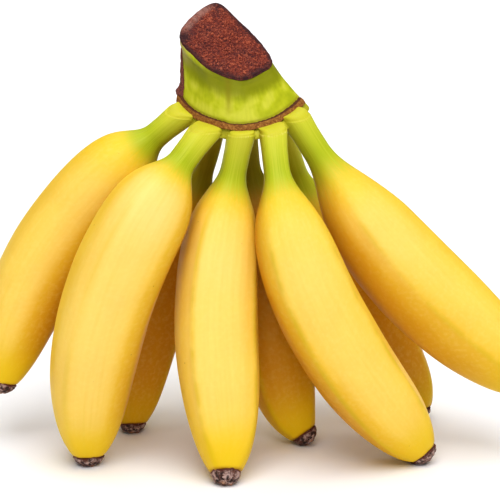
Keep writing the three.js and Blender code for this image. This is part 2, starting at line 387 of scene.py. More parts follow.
def neck_start(finger, turn):
    """The share where each line along a finger comes out of the crown, evened out round it."""
    probe = np.linspace(-0.05, 0.12, 171)[:, None]
    centre, out = finger_surface(finger, probe, turn)
    level, off = crown_place(centre + out * peel_radius(finger, np.maximum(probe, 0))[..., None])
    covered = ((level > NECK_LEVEL) & (off < 0)) | (level > finger["top"])
    start = probe[len(probe) - 1 - np.argmax(covered[::-1], axis=0), 0]
    return np.mean([np.roll(start, k) for k in range(-6, 7)], axis=0)


def knuckle_end(ring, place):
    """A flat ring under the crown's skin below the scar, as wide as the neck's ring given."""
    ahead, behind = (on_crown(place + away, KNUCKLE_LEVEL, 0.0) for away in (0.05, -0.05))
    mm_round = np.linalg.norm(ahead - behind) / 0.1
    level_way = unit(ahead - behind)
    depth = ring @ np.cross(level_way, [0, 0, 1])
    depth = depth / np.abs(depth).max()
    return on_crown(place + 0.85 * ring @ level_way / mm_round, KNUCKLE_LEVEL, -1.4 + depth)


def knuckle(finger, first, start, root_length):
    """Rings that carry a neck's first ring on, bend it in and close it inside the crown.

    Each point runs on a Bezier curve: k^2 of its inner end, 2k(1 - k) of where it bends and
    (1 - k)^2 of the ring, with k falling from 1 to 0.
    """
    root = first.mean(axis=0)
    if "place" in finger:
        inner = knuckle_end(first - root, finger["place"])
    else:
        inward = HEART - root
        inward *= root_length / np.linalg.norm(inward)
        inner = root + inward + 0.3 * (first - root)
    ahead = unit(middle(finger["way"], start) - middle(finger["way"], start + 0.01))
    reach = np.linalg.norm(inner - first, axis=-1, keepdims=True)
    bend = first + finger["bend"] * ahead * reach
    k = np.linspace(1, 0, KNUCKLE_ROWS + 1)[:-1, None, None]
    return k ** 2 * inner + 2 * k * (1 - k) * bend + (1 - k) ** 2 * first


def outward(rows):
    """Unit normals of a grid of rings: the cross product of its two central differences."""
    down = np.gradient(rows, axis=0)
    across = np.roll(rows, -1, axis=1) - np.roll(rows, 1, axis=1)
    normal = np.cross(across, down)
    normal /= np.linalg.norm(normal, axis=-1, keepdims=True) + 1e-12
    outer = rows - rows.mean(axis=(0, 1))
    return normal * np.sign((outer * normal).sum())


def add_piece(name, rows, attributes, material, node, first=None, last=None):
    """A closed surface from rows of points, each row a closed ring, with a pole at each end.

    rows is (m, n, 3) in mm, and a pole that isn't given is the middle of its ring. attributes
    are arrays by name that fit (m, n) or (m, n, 3), and a pole takes the mean of its ring. The
    rings' faces are quads, the ends are fans, and all are turned to face outwards.
    """
    m, n = rows.shape[:2]
    first = rows[0].mean(axis=0) if first is None else first
    last = rows[-1].mean(axis=0) if last is None else last
    points = (np.concatenate([rows.reshape(-1, 3), [first, last]]) + SHIFT) * MM
    points = np.maximum(points, [-1, CAD_BOX[0][1], 0])
    i, j = np.meshgrid(np.arange(m - 1), np.arange(n), indexing="ij")
    near, far = i * n + j, i * n + (j + 1) % n
    quads = np.stack([near, far, far + n, near + n], -1).reshape(-1, 4)
    k = np.arange(n)
    after = (k + 1) % n
    fans = np.concatenate([
        np.stack([0 * k + m * n, after, k], -1),
        np.stack([0 * k + m * n + 1, (m - 1) * n + k, (m - 1) * n + after], -1)])
    uv_quads = np.stack([np.stack([(i + down) / (m - 1), (j + on) / n], -1)
                         for down, on in ((0, 0), (0, 1), (1, 1), (1, 0))], 2).reshape(-1, 2)
    uv_fans = np.concatenate([
        np.stack([np.stack([0 * k + end, (k + on) / n], -1) for on in order], 1).reshape(-1, 2)
        for end, order in ((0.0, (0.5, 1, 0)), (1.0, (0.5, 0, 1)))])
    a, b, c, d = (points[quads[:, x]] for x in range(4))
    if (np.cross(b, c) * a).sum() + (np.cross(c, d) * a).sum() < 0:
        quads, fans = quads[:, ::-1], fans[:, ::-1]
        uv_quads = uv_quads.reshape(-1, 4, 2)[:, ::-1].reshape(-1, 2)
        uv_fans = uv_fans.reshape(-1, 3, 2)[:, ::-1].reshape(-1, 2)
    mesh = bpy.data.meshes.new(name)
    mesh.vertices.add(len(points))
    mesh.vertices.foreach_set("co", points.astype(np.float32).ravel())
    corners = np.concatenate([quads.ravel(), fans.ravel()]).astype(np.int32)
    mesh.loops.add(len(corners))
    mesh.loops.foreach_set("vertex_index", corners)
    starts = np.concatenate(
        [np.arange(len(quads)) * 4, len(quads) * 4 + np.arange(len(fans)) * 3])
    mesh.polygons.add(len(starts))
    mesh.polygons.foreach_set("loop_start", starts.astype(np.int32))
    mesh.polygons.foreach_set("use_smooth", np.ones(len(starts), bool))
    mesh.update(calc_edges=True)
    uv = mesh.uv_layers.new(name="surface")
    uv.data.foreach_set("uv", np.concatenate([uv_quads, uv_fans]).astype(np.float32).ravel())
    for key, values in attributes.items():
        values = np.asarray(values, float)
        values = np.broadcast_to(values, (m, n) + values.shape[2:])
        ends = np.stack([values[0].mean(axis=0), values[-1].mean(axis=0)])
        flat = np.concatenate([values.reshape((m * n,) + values.shape[2:]), ends])
        kind, field = ("FLOAT_VECTOR", "vector") if values.ndim == 3 else ("FLOAT", "value")
        layer = mesh.attributes.new(key, kind, "POINT")
        layer.data.foreach_set(field, flat.astype(np.float32).ravel())
    if mesh.validate():
        raise RuntimeError(f"{name}: the mesh had to be mended")
    piece = bpy.data.objects.new(name, mesh)
    bpy.context.scene.collection.objects.link(piece)
    mesh.materials.append(material)
    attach(piece, "root")
    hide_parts(node)


# ---- materials ----------------------------------------------------------------------

def add_node(tree, kind, settings=None, inputs=None, out=0):
    """Adds one node with its settings, sets or links its inputs, and returns one output."""
    made = tree.nodes.new(kind)
    for key, value in (settings or {}).items():
        setattr(made, key, value)
    for key, value in (inputs or {}).items():
        if isinstance(value, bpy.types.NodeSocket):
            tree.links.new(value, made.inputs[key])
        else:
            made.inputs[key].default_value = value
    return made.outputs[out] if made.outputs else None


def new_material(name):
    """An empty node material and its tree."""
    material = bpy.data.materials.new(name)
    material.use_nodes = True
    material.node_tree.nodes.clear()
    return material, material.node_tree


# A colour mix takes its factor in input 0, the colours in 6 and 7, and gives output 2. A map
# range takes the value, where it begins and ends, and what it gives there, in inputs 0 to 4.
MIX = {"data_type": "RGBA", "blend_type": "MIX"}
SMOOTH = {"interpolation_type": "SMOOTHSTEP"}
TIMES, PLUS, TIMES_PLUS = ({"operation": kind} for kind in ("MULTIPLY", "ADD", "MULTIPLY_ADD"))
CLAMPED = {"use_clamp": True}


def peel_material(colours):
    """Ripe banana peel: a thin waxy skin over pale pith.

    The wax gives a broad soft sheen, the pith a warm glow in the shade. Long fibres under the
    skin show as faint streaks, the necks are still yellow-green, and the ridges are a shade
    greener. A painted highlight pales the faces turned to the front, most below the shoulders,
    and painted shade, with some riper peel, deepens the amber of the faces turned inwards.
    """
    material, tree = new_material("ripe_peel_waxed_skin")
    straight = add_node(tree, "ShaderNodeAttribute", {"attribute_name": "straight"}, None, "Vector")
    neck, neck_edge, ridge, tip, tip_edge, root, knuckle, inside, painted_sheen, young = (
        add_node(tree, "ShaderNodeAttribute", {"attribute_name": name}, None, "Fac")
        for name in ("neck", "neck_edge", "ridge", "tip", "tip_edge", "root", "knuckle",
                     "inside", "painted_sheen", "young"))
    stretched = add_node(tree, "ShaderNodeMapping", {"vector_type": "POINT"},
                         {"Vector": straight, "Scale": (0.045, 1.0, 1.0)})
    # soft patches 14 mm across, fibres 1.4 mm apart and about 30 mm long, mottling of 1.6 mm
    patches, fibres, grains = (
        add_node(tree, "ShaderNodeTexNoise", None,
                 {"Vector": place, "Scale": 1 / size, "Detail": detail, "Roughness": rough}, "Fac")
        for place, size, detail, rough in (
            (straight, 14, 3.0, 0.55), (stretched, 1.4, 2.0, 0.6), (straight, 1.6, 2.0, 0.5)))
    patch, fibre, grain, broken, streak, tear, rough = (
        add_node(tree, "ShaderNodeMapRange", None, dict(enumerate(values))) for values in (
            (patches, 0.42, 0.72, 0.0, 0.34), (fibres, 0.35, 0.7, 0.0, 0.13),
            (grains, 0.45, 0.75, 0.0, 0.13), (patches, 0.36, 0.56, 0.15, 0.6),
            (fibres, 0.4, 0.7, 0.0, 0.3), (fibres, 0.5, 0.66, 0.0, 0.6),
            (grains, 0.3, 0.7, 0.40, 0.50)))
    # ripe is the amber of the inner faces: partly riper peel, partly painted shade
    ripe, line, dull, torn = (
        add_node(tree, "ShaderNodeMath", TIMES, {0: a, 1: b})
        for a, b in ((inside, 0.9), (ridge, broken), (knuckle, 0.5), (root, tear)))
    # unripe is the painted highlight, kept off the inner faces
    unripe, lemon = (
        add_node(tree, "ShaderNodeMath", {"operation": "SUBTRACT", **CLAMPED}, {0: a, 1: b})
        for a, b in ((painted_sheen, inside), (young, ripe)))
    # a few freckles 0.5 mm across, in about a quarter of cells of 7 mm
    cells = add_node(tree, "ShaderNodeTexVoronoi", None, {"Vector": straight, "Scale": 1 / 7},
                     "Distance")
    lone = add_node(tree, "ShaderNodeSeparateColor", None, {0: cells.node.outputs["Color"]})
    some = add_node(tree, "ShaderNodeMath", {"operation": "GREATER_THAN"}, {0: lone, 1: 0.72})
    near = add_node(tree, "ShaderNodeMapRange", None, {0: cells, 1: 0.02, 2: 0.05, 3: 0.5, 4: 0.0})
    freckle = add_node(tree, "ShaderNodeMath", TIMES, {0: near, 1: some})
    # the necks, greener just above the swell, streaked by the fibres, and browner inside with
    # painted shade and some riper peel
    neck_ripe_and_shade = add_node(tree, "ShaderNodeMath", TIMES, {0: ripe, 1: 0.6})
    neck_skin = colours.neck[:]
    for factor, over in ((neck_edge, colours.neck_edge[:]), (streak, linear("#e2dc55")),
                         (neck_ripe_and_shade, linear("#957010"))):
        neck_skin = add_node(tree, "ShaderNodeMix", MIX, {0: factor, 6: neck_skin, 7: over}, 2)
    # their lower edge is ragged by the fibres
    ragged = add_node(tree, "ShaderNodeMath", TIMES_PLUS, {0: fibres, 1: 0.5, 2: -0.25})
    ragged = add_node(tree, "ShaderNodeMath", {**PLUS, **CLAMPED}, {0: neck, 1: ragged})
    neck_in = add_node(tree, "ShaderNodeMapRange", SMOOTH,
                       {0: ragged, 1: 0.0, 2: 0.85, 3: 0.0, 4: 1.0})
    skin = colours.peel[:]
    for factor, over in (
            (patch, colours.amber[:]),
            (ripe, linear("#c88802")),  # the faces turned to the inside of the hand: painted shade and some riper peel
            (unripe, colours.painted_sheen[:]),  # painted highlight on the faces turned outwards in front
            (lemon, linear("#eccb1a")),  # just below the neck
            (fibre, colours.amber[:]),
            (grain, linear("#fbe592")),
            (line, linear("#ccb01a")),  # the ridges, broken up along their length
            (tip, linear("#e6c303")),  # the nose
            (tip_edge, linear("#a0651a")),  # a browned line where the blossom end begins
            (neck_in, neck_skin),
            (dull, linear("#c6bb2c")),  # the knuckles
            (torn, linear("#e8dc8c")),  # a torn line round their lower edge
            (freckle, linear("#8a5a1c"))):
        skin = add_node(tree, "ShaderNodeMix", MIX, {0: factor, 6: skin, 7: over}, 2)
    height = add_node(tree, "ShaderNodeMath", TIMES_PLUS, {0: fibres, 1: 0.6, 2: grains})
    bump = add_node(tree, "ShaderNodeBump", None,
                    {"Strength": 0.18, "Distance": 0.1 * MM, "Height": height})
    shader = add_node(tree, "ShaderNodeBsdfPrincipled", None, {
        "Base Color": skin, "Roughness": rough, "Normal": bump, "IOR": 1.42,
        "Specular IOR Level": 0.22, "Subsurface Weight": 0.10,
        "Subsurface Radius": (1.0, 0.55, 0.12), "Subsurface Scale": 2.5 * MM})
    add_node(tree, "ShaderNodeOutputMaterial", None, {"Surface": shader})
    return material


def crown_material(colours):
    """Green crown flesh under its skin: smooth, satin, yellow-green with olive under the cut.

    Faint streaks run up it, where the fibres of each finger gather.
    """
    material, tree = new_material("crown_green_skin")
    straight = add_node(tree, "ShaderNodeAttribute", {"attribute_name": "straight"}, None, "Vector")
    high, collar, crease, corner = (
        add_node(tree, "ShaderNodeAttribute", {"attribute_name": name}, None, "Fac")
        for name in ("high", "collar", "crease", "corner"))
    stretched = add_node(tree, "ShaderNodeMapping", {"vector_type": "POINT"},
                         {"Vector": straight, "Scale": (0.12, 1.0, 1.0)})
    # streaks 1.2 mm apart, bands 6 mm apart
    streaks, bands = (
        add_node(tree, "ShaderNodeTexNoise", None,
                 {"Vector": place, "Scale": 1 / size, "Detail": detail, "Roughness": rough}, "Fac")
        for place, size, detail, rough in ((stretched, 1.2, 3.0, 0.6), (straight, 6, 2.0, 0.5)))
    pale, green, thread = (
        add_node(tree, "ShaderNodeMapRange", None, dict(enumerate(values))) for values in (
            (bands, 0.45, 0.62, 0.0, 0.7), (bands, 0.47, 0.32, 0.0, 0.45),
            (streaks, 0.4, 0.66, 0.0, 0.14)))
    # darker towards the cut, from a ragged line on
    ragged = add_node(tree, "ShaderNodeMath", TIMES_PLUS, {0: streaks, 1: 0.35, 2: -0.175})
    ragged = add_node(tree, "ShaderNodeMath", {**PLUS, **CLAMPED}, {0: high, 1: ragged})
    dark = add_node(tree, "ShaderNodeMapRange", SMOOTH,
                    {0: ragged, 1: 0.2, 2: 0.95, 3: 0.0, 4: 0.85})
    skin = colours.crown[:]
    for factor, over in (
            (pale, linear("#cfcd48")),
            (green, linear("#8c9606")),
            (dark, colours.crown_dark[:]),
            (thread, linear("#8d9312")),
            (collar, linear("#bdb832")),  # below the scar it has the colour of the necks
            # painted shade in the creases between the necks and down a furrow, and a brown line
            # above the scar
            (crease, linear("#8a7d12")),
            (corner, linear("#a99a5e"))):  # a dry tan corner under the cut
        skin = add_node(tree, "ShaderNodeMix", MIX, {0: factor, 6: skin, 7: over}, 2)
    bump = add_node(tree, "ShaderNodeBump", None,
                    {"Strength": 0.12, "Distance": 0.15 * MM, "Height": streaks})
    shader = add_node(tree, "ShaderNodeBsdfPrincipled", None, {
        "Base Color": skin, "Roughness": 0.5, "Normal": bump, "IOR": 1.42,
        "Specular IOR Level": 0.28, "Subsurface Weight": 0.08,
        "Subsurface Radius": (0.8, 1.0, 0.15), "Subsurface Scale": 2 * MM})
    add_node(tree, "ShaderNodeOutputMaterial", None, {"Surface": shader})
    return material


def cut_material(colours):
    """Dried cut: torn fibre ends oxidised to red-brown, corky and matt.

    Short bent fibres catch the light, the pits between them are painted nearly black with shade,
    the edge is dark, and the weathered side of the rim is paler and greyer.
    """
    material, tree = new_material("dried_cut_oxidised_fibre")
    place = add_node(tree, "ShaderNodeTexCoord", None, None, "Object")
    edge, worn, relief = (
        add_node(tree, "ShaderNodeAttribute", {"attribute_name": name}, None, "Fac")
        for name in ("edge", "worn", "relief"))
    # fibre ends 0.42 mm across, bent in swirls, and tones 7 mm across
    fibres, wide = (
        add_node(tree, "ShaderNodeTexNoise", None,
                 {"Vector": place, "Scale": 1 / (size * MM), "Detail": 2.0, "Roughness": rough,
                  "Distortion": bent}, "Fac")
        for size, rough, bent in ((0.42, 0.6, 1.4), (7, 0.5, 0.0)))
    ends = add_node(tree, "ShaderNodeMath", TIMES_PLUS, {0: relief, 1: 0.10, 2: fibres})
    tone, dusk, pit_shade, glint, worn_fibre, edge_in = (
        add_node(tree, "ShaderNodeMapRange", None, dict(enumerate(values))) for values in (
            (wide, 0.35, 0.65, 0.0, 0.6), (wide, 0.5, 0.3, 0.0, 0.6),
            (ends, 0.50, 0.36, 0.0, 0.9), (ends, 0.53, 0.66, 0.0, 0.85),
            (fibres, 0.3, 0.6, 0.35, 1.0), (edge, 0.0, 1.0, 0.0, 0.93)))
    worn_in = add_node(tree, "ShaderNodeMath", {**TIMES, **CLAMPED}, {0: worn, 1: worn_fibre})
    bark = colours.cut[:]
    # pit_shade is painted shade in the hollows between the fibre ends
    for factor, over in ((tone, linear("#93402a")), (dusk, linear("#5a2a2a")),
                         (pit_shade, colours.cut_dark[:]), (glint, linear("#c87250")),
                         (worn_in, colours.cut_pale[:]), (edge_in, colours.cut_dark[:])):
        bark = add_node(tree, "ShaderNodeMix", MIX, {0: factor, 6: bark, 7: over}, 2)
    bump = add_node(tree, "ShaderNodeBump", None,
                    {"Strength": 0.7, "Distance": 0.3 * MM, "Height": fibres})
    shader = add_node(tree, "ShaderNodeBsdfPrincipled", None, {
        "Base Color": bark, "Roughness": 0.72, "Normal": bump, "IOR": 1.45,
        "Specular IOR Level": 0.35})
    add_node(tree, "ShaderNodeOutputMaterial", None, {"Surface": shader})
    return material


def scar_material(colours):
    """Bract scar: a corky ochre-brown ring with dark burnt-looking edges, dry and rough."""
    material, tree = new_material("bract_scar_cork")
    place = add_node(tree, "ShaderNodeTexCoord", None, None, "Object")
    edge = add_node(tree, "ShaderNodeAttribute", {"attribute_name": "edge"}, None, "Fac")
    # cork grains 0.7 mm across
    grains = add_node(tree, "ShaderNodeTexNoise", None,
                      {"Vector": place, "Scale": 1 / (0.7 * MM), "Detail": 3.0,
                       "Roughness": 0.6, "Distortion": 0.8}, "Fac")
    ragged = add_node(tree, "ShaderNodeMath", TIMES_PLUS, {0: grains, 1: 0.5, 2: -0.25})
    ragged = add_node(tree, "ShaderNodeMath", PLUS, {0: edge, 1: ragged})
    grain, glint, edge_in = (
        add_node(tree, "ShaderNodeMapRange", None, dict(enumerate(values))) for values in (
            (grains, 0.38, 0.62, 0.0, 0.75), (grains, 0.6, 0.75, 0.0, 0.6),
            (ragged, 0.35, 0.75, 0.0, 0.9)))
    cork = linear("#7a4a20")
    for factor, over in ((grain, colours.scar[:]), (glint, linear("#c79a55")),
                         (edge_in, colours.scar_dark[:])):
        cork = add_node(tree, "ShaderNodeMix", MIX, {0: factor, 6: cork, 7: over}, 2)
    bump = add_node(tree, "ShaderNodeBump", None,
                    {"Strength": 0.6, "Distance": 0.25 * MM, "Height": grains})
    shader = add_node(tree, "ShaderNodeBsdfPrincipled", None, {
        "Base Color": cork, "Roughness": 0.75, "Normal": bump, "IOR": 1.45,
        "Specular IOR Level": 0.3})
    add_node(tree, "ShaderNodeOutputMaterial", None, {"Surface": shader})
    return material


def blossom_material(colours):
    """Dried blossom end: shrivelled dark brown flower base with papery paler flakes."""
    material, tree = new_material("blossom_end_dried")
    straight = add_node(tree, "ShaderNodeAttribute", {"attribute_name": "straight"}, None, "Vector")
    knob, crevice_shade, rim = (
        add_node(tree, "ShaderNodeAttribute", {"attribute_name": name}, None, "Fac")
        for name in ("knob", "crevice_shade", "rim"))
    # flakes 2 mm across, and threads of 0.45 mm
    flakes, threads = (
        add_node(tree, "ShaderNodeTexNoise", None,
                 {"Vector": straight, "Scale": 1 / size, "Detail": detail, "Roughness": rough,
                  "Distortion": bent}, "Fac")
        for size, detail, rough, bent in ((2.0, 4.0, 0.65, 1.0), (0.45, 2.0, 0.5, 0.0)))
    dark, pale = (
        add_node(tree, "ShaderNodeMapRange", None, dict(enumerate(values)))
        for values in ((threads, 0.38, 0.62, 0.0, 0.7), (flakes, 0.44, 0.6, 0.0, 0.85)))
    tan = add_node(tree, "ShaderNodeMath", TIMES, {0: knob, 1: 0.8})
    husk = colours.blossom[:]
    # crevice_shade is painted shade in the groove and the sunk spots
    for factor, over in ((dark, linear("#2e1b1a")), (pale, colours.blossom_pale[:]),
                         (crevice_shade, linear("#241413")), (tan, linear("#b98a68")),
                         (rim, linear("#5a2a1c"))):
        husk = add_node(tree, "ShaderNodeMix", MIX, {0: factor, 6: husk, 7: over}, 2)
    bump = add_node(tree, "ShaderNodeBump", None,
                    {"Strength": 0.7, "Distance": 0.2 * MM, "Height": flakes})
    shader = add_node(tree, "ShaderNodeBsdfPrincipled", None, {
        "Base Color": husk, "Roughness": 0.62, "Normal": bump, "IOR": 1.45,
        "Specular IOR Level": 0.4})
    add_node(tree, "ShaderNodeOutputMaterial", None, {"Surface": shader})
    return material


# ---- pieces -------------------------------------------------------------------------

class HAND_OT_stage(bpy.types.Operator):
    """Make the pale floor, the soft lights and the camera"""
    bl_idname = "hand.make_stage"
    bl_label = "Make stage"

    def execute(self, context):
        scene = context.scene
        material, tree = new_material("studio_floor_matt")
        shader = add_node(tree, "ShaderNodeBsdfPrincipled", None, {
            "Base Color": FLOOR_WHITE, "Roughness": 0.9, "Specular IOR Level": 0.1})
        add_node(tree, "ShaderNodeOutputMaterial", None, {"Surface": shader})
        mesh = bpy.data.meshes.new("floor")
        mesh.from_pydata([(x * FLOOR_HALF, y * FLOOR_HALF, 0)
                          for x, y in ((-1, -1), (1, -1), (1, 1), (-1, 1))], [], [(0, 1, 2, 3)])
        mesh.materials.append(material)
        floor = bpy.data.objects.new("floor", mesh)
        scene.collection.objects.link(floor)

        world = bpy.data.worlds.new("studio")
        world.use_nodes = True
        world.node_tree.nodes["Background"].inputs["Color"].default_value = (1, 1, 1, 1)
        world.node_tree.nodes["Background"].inputs["Strength"].default_value = WORLD_LIGHT
        scene.world = world
        for name, (width, power, way) in LIGHTS.items():
            light = bpy.data.lights.new(name, "SUN")
            light.angle = math.radians(width)
            light.energy = power
            lamp = bpy.data.objects.new(name, light)
            lamp.rotation_euler = Vector(way).to_track_quat("-Z", "Y").to_euler()
            scene.collection.objects.link(lamp)
        eye = bpy.data.cameras.new("camera")
        eye.sensor_width = SENSOR
        eye.lens = LENS
        eye.clip_start, eye.clip_end = CLIP
        camera = bpy.data.objects.new("camera", eye)
        camera.location = CAMERA
        aim = Vector(TARGET) - Vector(CAMERA)
        camera.rotation_euler = aim.to_track_quat("-Z", "Y").to_euler()
        scene.collection.objects.link(camera)
        scene.camera = camera
        scene.view_settings.view_transform = "Standard"
        scene.view_settings.look = "Medium High Contrast"
        return {"FINISHED"}


class HAND_OT_peels(bpy.types.Operator):
    """Make the eight fingers' peels from the crown to the blossom ends"""
    bl_idname = "hand.make_peels"
    bl_label = "Make peels"

    def execute(self, context):
        sizes = context.scene.hand_sizes
        material = peel_material(context.scene.hand_colours)
        dents = sizes.dents / MM
        k = np.linspace(0, 1, sizes.rings)
        steps = (k - 0.7 * np.sin(2 * math.pi * k) / (2 * math.pi))[:, None]  # closer at the ends
        turn = turns(sizes.round)
        for index, (name, finger) in enumerate(FINGERS.items()):
            mm_long = length_of(finger["way"])
            start = neck_start(finger, turn)
            share = start + (PEEL_END - start) * steps
            centre, out = finger_surface(finger, share, turn)
            down = (share - start) * mm_long  # mm from the crown
            left = (PEEL_END - share) * mm_long  # mm from the blossom end
            # 0 where the swell begins, 1 where half of it is done
            grown = (share - finger["swell_at"]) / finger["swell"]
            rolled = turn - finger["roll"]
            radius = peel_radius(finger, np.maximum(share, 0)) * squarish(rolled, sizes.squareness)
            # 200 mm further for each finger, so that no two are dented alike
            straight = straightened(down + 200 * index, FULL_GIRTH, RIDGE_TURN + turn)
            # soft dents 17 mm across, and shallower ones of 4.5 mm drawn out along the finger
            full = np.clip(radius / FULL_GIRTH, 0, 1)
            radius += dents * full * noise(straight, 17, 1 + index)
            radius += dents * 0.35 * full * noise(straight * [0.4, 1, 1], 4.5, 20 + index)
            # shallow puckers gather towards the blossom end
            folds = np.cos(9 * turn + 2 * noise(straight, 6, 40 + index))
            radius += 0.16 * folds * np.exp(-left / 3.0)
            # the blunt ridges, a quarter turn apart
            off = np.abs((rolled + math.pi / 4) % (math.pi / 2) - math.pi / 4) * radius  # mm
            keen = finger["keen"] * step(0.8, 1.8, grown)
            radius += sizes.ridges / MM * hump(off, 2.0) * keen * step(0, 12, left)
            radius -= rounding(down, finger["shoulder"]) + rounding(left, PEEL_EDGE)
            peel = centre + out * radius[..., None]
            bent = knuckle(finger, peel[0], start.mean(), sizes.root / MM)
            # the side darkened with painted shade and some riper amber: turned to the middle of the
            # hand
            #  and down, or in the back row to the front
            in_front = out @ FRONT
            towards = HEART - centre
            towards[..., 2] = 0
            inwards = (out * (0.9 * unit(towards) + [0, 0, -0.35])).sum(-1)
            depth, low, high = finger["ripe"]
            inside = depth * step(low, high, inwards if "place" in finger else in_front)
            # painted highlight on the outer faces in front, strongest just below the shoulders
            pale = finger["pale"] * (1 + 0.6 * hump(grown - 1.8, 1.0))
            attributes = {
                "straight": straight,
                "inside": inside * (1 - finger["eased"] * (1 - step(0.15, 0.6, share))),
                "painted_sheen": (pale * step(0.35, 1.0, in_front) * step(0.6, 1.4, grown)
                          * step(3, 20, left)),
                "young": finger["young"] * hump(grown - 1.2, 1.1),
                "neck": 1 - step(0.05, 1.45, grown + finger["green"]),
                "neck_edge": 0.9 * step(-0.9, 0.25, grown) * (1 - step(0.5, 1.2, grown)),
                "ridge": finger["keen"] * hump(off, 1.1) * step(0.6, 1.6, grown),
                "tip": finger["nose"] * hump(left, 17.0),
                "tip_edge": hump(left, 0.7),
                "root": finger["torn"] * hump(down - 0.35, 0.3),
                "knuckle": np.exp(-down / 0.5),
            }
            # the knuckle's rings take what the neck's first ring has, and the torn line ends there
            attributes = {
                key: np.concatenate([np.repeat(value[:1], KNUCKLE_ROWS, axis=0), value])
                for key, value in attributes.items()}
            attributes["root"][:KNUCKLE_ROWS - 1] = 0
            add_piece(f"peel_{name}", np.concatenate([bent, peel]), attributes, material,
                      f"finger_{name}", last=centre[-1].mean(axis=0))
        return {"FINISHED"}


class HAND_OT_blossom_ends(bpy.types.Operator):
    """Make the dried blossom ends on the tips"""
    bl_idname = "hand.make_blossom_ends"
    bl_label = "Make blossom ends"

    def execute(self, context):
        material = blossom_material(context.scene.hand_colours)
        turn = turns(BLOSSOM_GRID[1])
        angle = RIDGE_TURN + turn
        # k runs from inside the peel, below 0, over the low dome to its top at 1
        k = np.concatenate([np.linspace(-0.22, 0.0, 7)[:-1],
                            np.sin(np.linspace(0, math.pi / 2, BLOSSOM_GRID[0])) ** 1.5])
        k = np.minimum(k, 0.9995)[:, None]
        for index, (name, finger) in enumerate(FINGERS.items()):
            base = 0.98 * peel_radius(finger, np.array(PEEL_END))
            radius = base * np.sqrt(1 - np.maximum(k, 0) ** 2.1) + 3.0 * np.minimum(k, 0)
            share = PEEL_END + (DOME_END - PEEL_END) * k[:, 0]
            centre, side, across = (v[:, None] for v in frames(finger["way"], share))
            ring = np.stack([np.cos(angle), np.sin(angle), 0 * angle + 10 * index], -1)
            # uneven corners round the rim, and a rim that dips and rises along the finger
            radius = radius * (1 + 0.03 * np.cos(4 * turn) + 0.06 * noise(ring, 0.8, 60 + index))
            rim = 0.35 * np.cos(5 * turn + index) + 0.5 * noise(ring, 0.6, 70 + index)
            shift = rim * hump(k, 0.25)
            out = side * np.cos(angle)[:, None] + across * np.sin(angle)[:, None]
            rows = centre + radius[..., None] * out + np.cross(side, across) * shift[..., None]
            # the dome's top leans forward
            rows = rows + np.array([0, -0.9, 0.4]) * np.maximum(k, 0)[..., None]
            # relief: a thin lip over the peel, a groove, three knobs left by the flower, folds
            # and lumps
            lip = hump(k - 0.03, 0.08)
            groove = hump(radius / base - 0.66, 0.07) * (k > 0)
            flat = np.stack([radius * np.cos(angle), radius * np.sin(angle)], -1)
            knobs = 0.0
            for spoke in range(3):
                turned = 2.1 * spoke + 1.3 * index
                spot = 0.36 * base * np.array([math.cos(turned), math.sin(turned)])
                knobs = knobs + np.exp(-((flat - spot) ** 2).sum(-1) / 0.75 ** 2)
            knobs = knobs * (k > 0.3)
            folds = np.cos(13 * turn + 3 * noise(rows, 2.0, 90 + index))
            folds = folds * (radius / base > 0.6) * (k > 0)
            lumps = noise(rows, 1.1, 120 + index) + 0.5 * noise(rows, 0.5, 140 + index)
            relief = (0.28 * lip - 0.14 * groove + 0.40 * knobs + 0.10 * folds
                      + 0.20 * lumps * (k > -0.05))
            rows = rows + outward(rows) * relief[..., None]
            # painted shade in the groove and wherever the relief sinks
            crevice_shade = 0.5 * groove - 0.5 * lumps * groove + 0.8 * (relief < -0.10)
            attributes = {
                "straight": straightened(3.5 * k + 40 * index, radius, angle),
                "knob": np.clip(knobs, 0, 1),
                "crevice_shade": np.clip(crevice_shade, 0, 1),
                "rim": lip,
            }
            add_piece(f"blossom_{name}", rows, attributes, material, f"blossom_end_{name}",
                      first=centre[0, 0])
        return {"FINISHED"}


